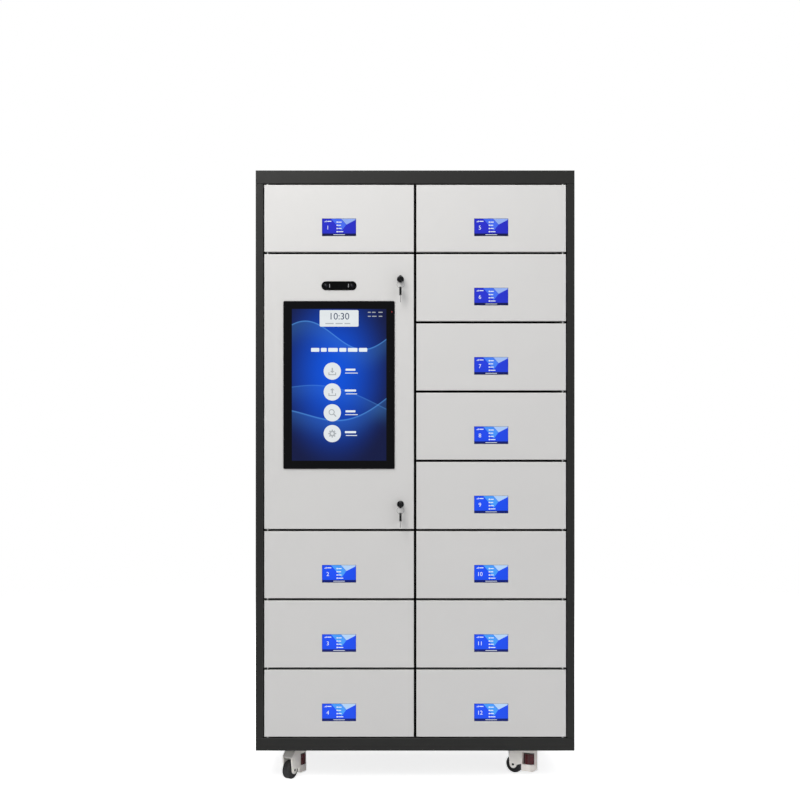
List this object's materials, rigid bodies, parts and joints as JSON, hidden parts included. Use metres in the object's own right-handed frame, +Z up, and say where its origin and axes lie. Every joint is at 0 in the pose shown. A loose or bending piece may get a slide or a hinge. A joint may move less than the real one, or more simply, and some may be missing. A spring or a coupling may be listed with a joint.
{
  "type": "smart storage cabinet",
  "caption": "Tall steel storage cabinet on levelling casters: lockable compartment doors with small displays, and a control door with touch monitor, camera and keyed cam locks.",
  "frame": {"origin": "on the floor, in the middle of the overall box (the keys at the front included)", "axes": "+Z up, the doors face -Y, +X to the right of someone facing the doors"},
  "size_m": [1, 0.5358, 1.92],
  "materials": {
    "frame_paint": "fine matt powder coat",
    "door_paint": "satin powder coat",
    "zinc_steel": "zinc plated",
    "lock_case": "black coated",
    "equipment_metal": "matt",
    "display_panel": "lit blue display",
    "screen_glass": "black-bordered cover glass",
    "black_case": "fine grain",
    "black_gloss": "polished",
    "lock_black": "black nickel",
    "key_black": "moulded heads, steel blades",
    "caster_casting": "ivory painted die casting",
    "caster_wheel": "moulded nylon",
    "caster_dial": "moulded",
    "pad_rubber": "matt"
  },
  "bodies": {
    "cabinet": {"left_side_panel": "frame_paint", "right_side_panel": "frame_paint", "top_panel": "frame_paint", "base_panel": "frame_paint", "back_panel": "frame_paint", "centre_channel": "frame_paint", "shelves": "frame_paint", "hinge_rods": "zinc_steel", "electric_locks": "lock_case", "caster_plates": "zinc_steel", "control_equipment": "equipment_metal"},
    "control_door": {"control_door": "door_paint", "touch_glass": "screen_glass", "monitor_case": "black_case", "camera_module": "black_gloss", "lock_barrels": "lock_black"},
    "door_left_1": {"door_left_1": "door_paint", "display_left_1": "display_panel"},
    "door_left_6": {"door_left_6": "door_paint", "display_left_6": "display_panel"},
    "door_left_7": {"door_left_7": "door_paint", "display_left_7": "display_panel"},
    "door_left_8": {"door_left_8": "door_paint", "display_left_8": "display_panel"},
    "door_right_1": {"door_right_1": "door_paint", "display_right_1": "display_panel"},
    "door_right_2": {"door_right_2": "door_paint", "display_right_2": "display_panel"},
    "door_right_3": {"door_right_3": "door_paint", "display_right_3": "display_panel"},
    "door_right_4": {"door_right_4": "door_paint", "display_right_4": "display_panel"},
    "door_right_5": {"door_right_5": "door_paint", "display_right_5": "display_panel"},
    "door_right_6": {"door_right_6": "door_paint", "display_right_6": "display_panel"},
    "door_right_7": {"door_right_7": "door_paint", "display_right_7": "display_panel"},
    "door_right_8": {"door_right_8": "door_paint", "display_right_8": "display_panel"},
    "upper_key": {"upper_key": "key_black"},
    "upper_key_ring": {"upper_key_ring": "key_black"},
    "lower_key": {"lower_key": "key_black"},
    "lower_key_ring": {"lower_key_ring": "key_black"},
    "caster_front_left": {"caster_front_left_housing": "caster_casting"},
    "caster_front_left_wheel": {"caster_front_left_wheel": "caster_wheel"},
    "caster_front_left_dial": {"caster_front_left_dial": "caster_dial"},
    "caster_front_left_foot": {"caster_front_left_foot": "pad_rubber"},
    "caster_front_right": {"caster_front_right_housing": "caster_casting"},
    "caster_front_right_wheel": {"caster_front_right_wheel": "caster_wheel"},
    "caster_front_right_dial": {"caster_front_right_dial": "caster_dial"},
    "caster_front_right_foot": {"caster_front_right_foot": "pad_rubber"},
    "caster_rear_left": {"caster_rear_left_housing": "caster_casting"},
    "caster_rear_left_wheel": {"caster_rear_left_wheel": "caster_wheel"},
    "caster_rear_left_dial": {"caster_rear_left_dial": "caster_dial"},
    "caster_rear_left_foot": {"caster_rear_left_foot": "pad_rubber"},
    "caster_rear_right": {"caster_rear_right_housing": "caster_casting"},
    "caster_rear_right_wheel": {"caster_rear_right_wheel": "caster_wheel"},
    "caster_rear_right_dial": {"caster_rear_right_dial": "caster_dial"},
    "caster_rear_right_foot": {"caster_rear_right_foot": "pad_rubber"}
  },
  "joints": [
    {"name": "control_door_hinge", "type": "hinge", "parent": "cabinet", "child": "control_door", "pos_m": [-0.463, -0.2255, 1.22625], "axis": [0, 0, -1], "range_deg": [0, 110]},
    {"name": "door_left_1_hinge", "type": "hinge", "parent": "cabinet", "child": "door_left_1", "pos_m": [-0.463, -0.2255, 1.76937], "axis": [0, 0, -1], "range_deg": [0, 110]},
    {"name": "door_left_6_hinge", "type": "hinge", "parent": "cabinet", "child": "door_left_6", "pos_m": [-0.463, -0.2255, 0.68312], "axis": [0, 0, -1], "range_deg": [0, 110]},
    {"name": "door_left_7_hinge", "type": "hinge", "parent": "cabinet", "child": "door_left_7", "pos_m": [-0.463, -0.2255, 0.46587], "axis": [0, 0, -1], "range_deg": [0, 110]},
    {"name": "door_left_8_hinge", "type": "hinge", "parent": "cabinet", "child": "door_left_8", "pos_m": [-0.463, -0.2255, 0.24863], "axis": [0, 0, -1], "range_deg": [0, 110]},
    {"name": "door_right_1_hinge", "type": "hinge", "parent": "cabinet", "child": "door_right_1", "pos_m": [0.463, -0.2255, 1.76937], "axis": [0, 0, 1], "range_deg": [0, 110]},
    {"name": "door_right_2_hinge", "type": "hinge", "parent": "cabinet", "child": "door_right_2", "pos_m": [0.463, -0.2255, 1.55212], "axis": [0, 0, 1], "range_deg": [0, 110]},
    {"name": "door_right_3_hinge", "type": "hinge", "parent": "cabinet", "child": "door_right_3", "pos_m": [0.463, -0.2255, 1.33488], "axis": [0, 0, 1], "range_deg": [0, 110]},
    {"name": "door_right_4_hinge", "type": "hinge", "parent": "cabinet", "child": "door_right_4", "pos_m": [0.463, -0.2255, 1.11763], "axis": [0, 0, 1], "range_deg": [0, 110]},
    {"name": "door_right_5_hinge", "type": "hinge", "parent": "cabinet", "child": "door_right_5", "pos_m": [0.463, -0.2255, 0.90038], "axis": [0, 0, 1], "range_deg": [0, 110]},
    {"name": "door_right_6_hinge", "type": "hinge", "parent": "cabinet", "child": "door_right_6", "pos_m": [0.463, -0.2255, 0.68312], "axis": [0, 0, 1], "range_deg": [0, 110]},
    {"name": "door_right_7_hinge", "type": "hinge", "parent": "cabinet", "child": "door_right_7", "pos_m": [0.463, -0.2255, 0.46587], "axis": [0, 0, 1], "range_deg": [0, 110]},
    {"name": "door_right_8_hinge", "type": "hinge", "parent": "cabinet", "child": "door_right_8", "pos_m": [0.463, -0.2255, 0.24863], "axis": [0, 0, 1], "range_deg": [0, 110]},
    {"name": "upper_key_turn", "type": "hinge", "parent": "control_door", "child": "upper_key", "pos_m": [-0.046, -0.2325, 1.578], "axis": [0, 1, 0], "range_deg": [0, 90]},
    {"name": "upper_key_ring_swing", "type": "hinge", "parent": "upper_key", "child": "upper_key_ring", "pos_m": [-0.046, -0.2565, 1.573], "axis": [-1, 0, 0], "range_deg": [-10, 75]},
    {"name": "lower_key_turn", "type": "hinge", "parent": "control_door", "child": "lower_key", "pos_m": [-0.046, -0.2325, 0.8735], "axis": [0, 1, 0], "range_deg": [0, 90]},
    {"name": "lower_key_ring_swing", "type": "hinge", "parent": "lower_key", "child": "lower_key_ring", "pos_m": [-0.046, -0.2565, 0.8685], "axis": [-1, 0, 0], "range_deg": [-10, 75]},
    {"name": "caster_front_left_swivel", "type": "hinge", "parent": "cabinet", "child": "caster_front_left", "pos_m": [-0.37, -0.1385, 0.1], "axis": [0, 0, 1], "continuous": true},
    {"name": "caster_front_left_wheel_roll", "type": "hinge", "parent": "caster_front_left", "child": "caster_front_left_wheel", "pos_m": [-0.396, -0.18353, 0.028], "axis": [0.866, -0.5, 0], "continuous": true},
    {"name": "caster_front_left_dial_turn", "type": "hinge", "parent": "caster_front_left", "child": "caster_front_left_dial", "pos_m": [-0.37, -0.1385, 0.034], "axis": [0, 0, -1], "range_deg": [0, 2880]},
    {"name": "caster_front_left_foot_slide", "type": "slide", "parent": "caster_front_left", "child": "caster_front_left_foot", "axis": [0, 0, -1], "range_m": [0, 0.016]},
    {"name": "caster_front_right_swivel", "type": "hinge", "parent": "cabinet", "child": "caster_front_right", "pos_m": [0.37, -0.1385, 0.1], "axis": [0, 0, 1], "continuous": true},
    {"name": "caster_front_right_wheel_roll", "type": "hinge", "parent": "caster_front_right", "child": "caster_front_right_wheel", "pos_m": [0.32497, -0.1125, 0.028], "axis": [-0.5, -0.866, 0], "continuous": true},
    {"name": "caster_front_right_dial_turn", "type": "hinge", "parent": "caster_front_right", "child": "caster_front_right_dial", "pos_m": [0.37, -0.1385, 0.034], "axis": [0, 0, -1], "range_deg": [0, 2880]},
    {"name": "caster_front_right_foot_slide", "type": "slide", "parent": "caster_front_right", "child": "caster_front_right_foot", "axis": [0, 0, -1], "range_m": [0, 0.016]},
    {"name": "caster_rear_left_swivel", "type": "hinge", "parent": "cabinet", "child": "caster_rear_left", "pos_m": [-0.37, 0.1735, 0.1], "axis": [0, 0, 1], "continuous": true},
    {"name": "caster_rear_left_wheel_roll", "type": "hinge", "parent": "caster_rear_left", "child": "caster_rear_left_wheel", "pos_m": [-0.3225, 0.19465, 0.028], "axis": [-0.4067, 0.9135, 0], "continuous": true},
    {"name": "caster_rear_left_dial_turn", "type": "hinge", "parent": "caster_rear_left", "child": "caster_rear_left_dial", "pos_m": [-0.37, 0.1735, 0.034], "axis": [0, 0, -1], "range_deg": [0, 2880]},
    {"name": "caster_rear_left_foot_slide", "type": "slide", "parent": "caster_rear_left", "child": "caster_rear_left_foot", "axis": [0, 0, -1], "range_m": [0, 0.016]},
    {"name": "caster_rear_right_swivel", "type": "hinge", "parent": "cabinet", "child": "caster_rear_right", "pos_m": [0.37, 0.1735, 0.1], "axis": [0, 0, 1], "continuous": true},
    {"name": "caster_rear_right_wheel_roll", "type": "hinge", "parent": "caster_rear_right", "child": "caster_rear_right_wheel", "pos_m": [0.41713, 0.15152, 0.028], "axis": [0.4226, 0.9063, 0], "continuous": true},
    {"name": "caster_rear_right_dial_turn", "type": "hinge", "parent": "caster_rear_right", "child": "caster_rear_right_dial", "pos_m": [0.37, 0.1735, 0.034], "axis": [0, 0, -1], "range_deg": [0, 2880]},
    {"name": "caster_rear_right_foot_slide", "type": "slide", "parent": "caster_rear_right", "child": "caster_rear_right_foot", "axis": [0, 0, -1], "range_m": [0, 0.016]}
  ],
  "couplings": [
    {"joint": "caster_front_left_foot_slide", "follows": "caster_front_left_dial_turn", "m_per_rad": 0.0003183},
    {"joint": "caster_front_right_foot_slide", "follows": "caster_front_right_dial_turn", "m_per_rad": 0.0003183},
    {"joint": "caster_rear_left_foot_slide", "follows": "caster_rear_left_dial_turn", "m_per_rad": 0.0003183},
    {"joint": "caster_rear_right_foot_slide", "follows": "caster_rear_right_dial_turn", "m_per_rad": 0.0003183}
  ]
}
